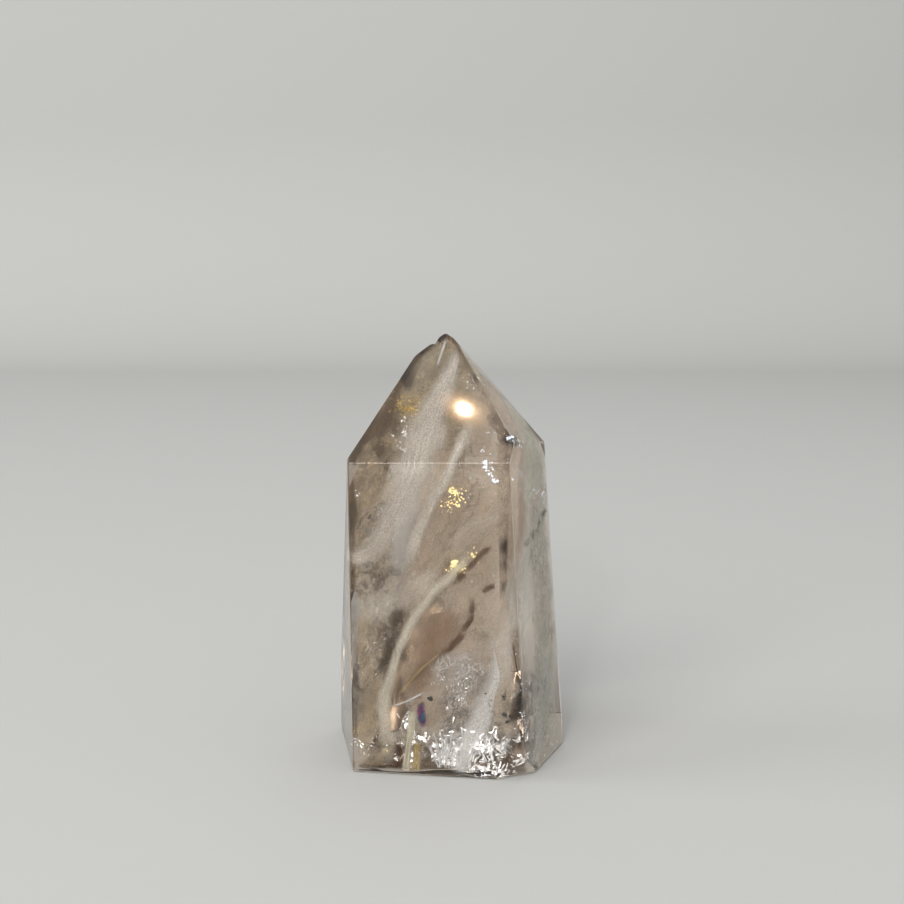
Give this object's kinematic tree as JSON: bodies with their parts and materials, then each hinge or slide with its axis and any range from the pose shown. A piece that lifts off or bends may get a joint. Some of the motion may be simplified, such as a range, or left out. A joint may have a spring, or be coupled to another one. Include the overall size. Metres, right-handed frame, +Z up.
{
  "type": "smoky quartz point",
  "caption": "Free-standing point of smoky quartz, ground and polished into a six-sided tower with a flat base and an off-centre tip.",
  "frame": {"origin": "middle of the bounding box, on the plane that the flat base rests on", "axes": "+Z up along the length of the crystal, -Y towards the widest side face, +X to the right of it"},
  "size_m": [0.033, 0.0286, 0.0598],
  "materials": {
    "smoky_quartz": "polished, clear brown with white veils"
  },
  "bodies": {
    "root": {"quartz_point": "smoky_quartz"}
  },
  "joints": []
}
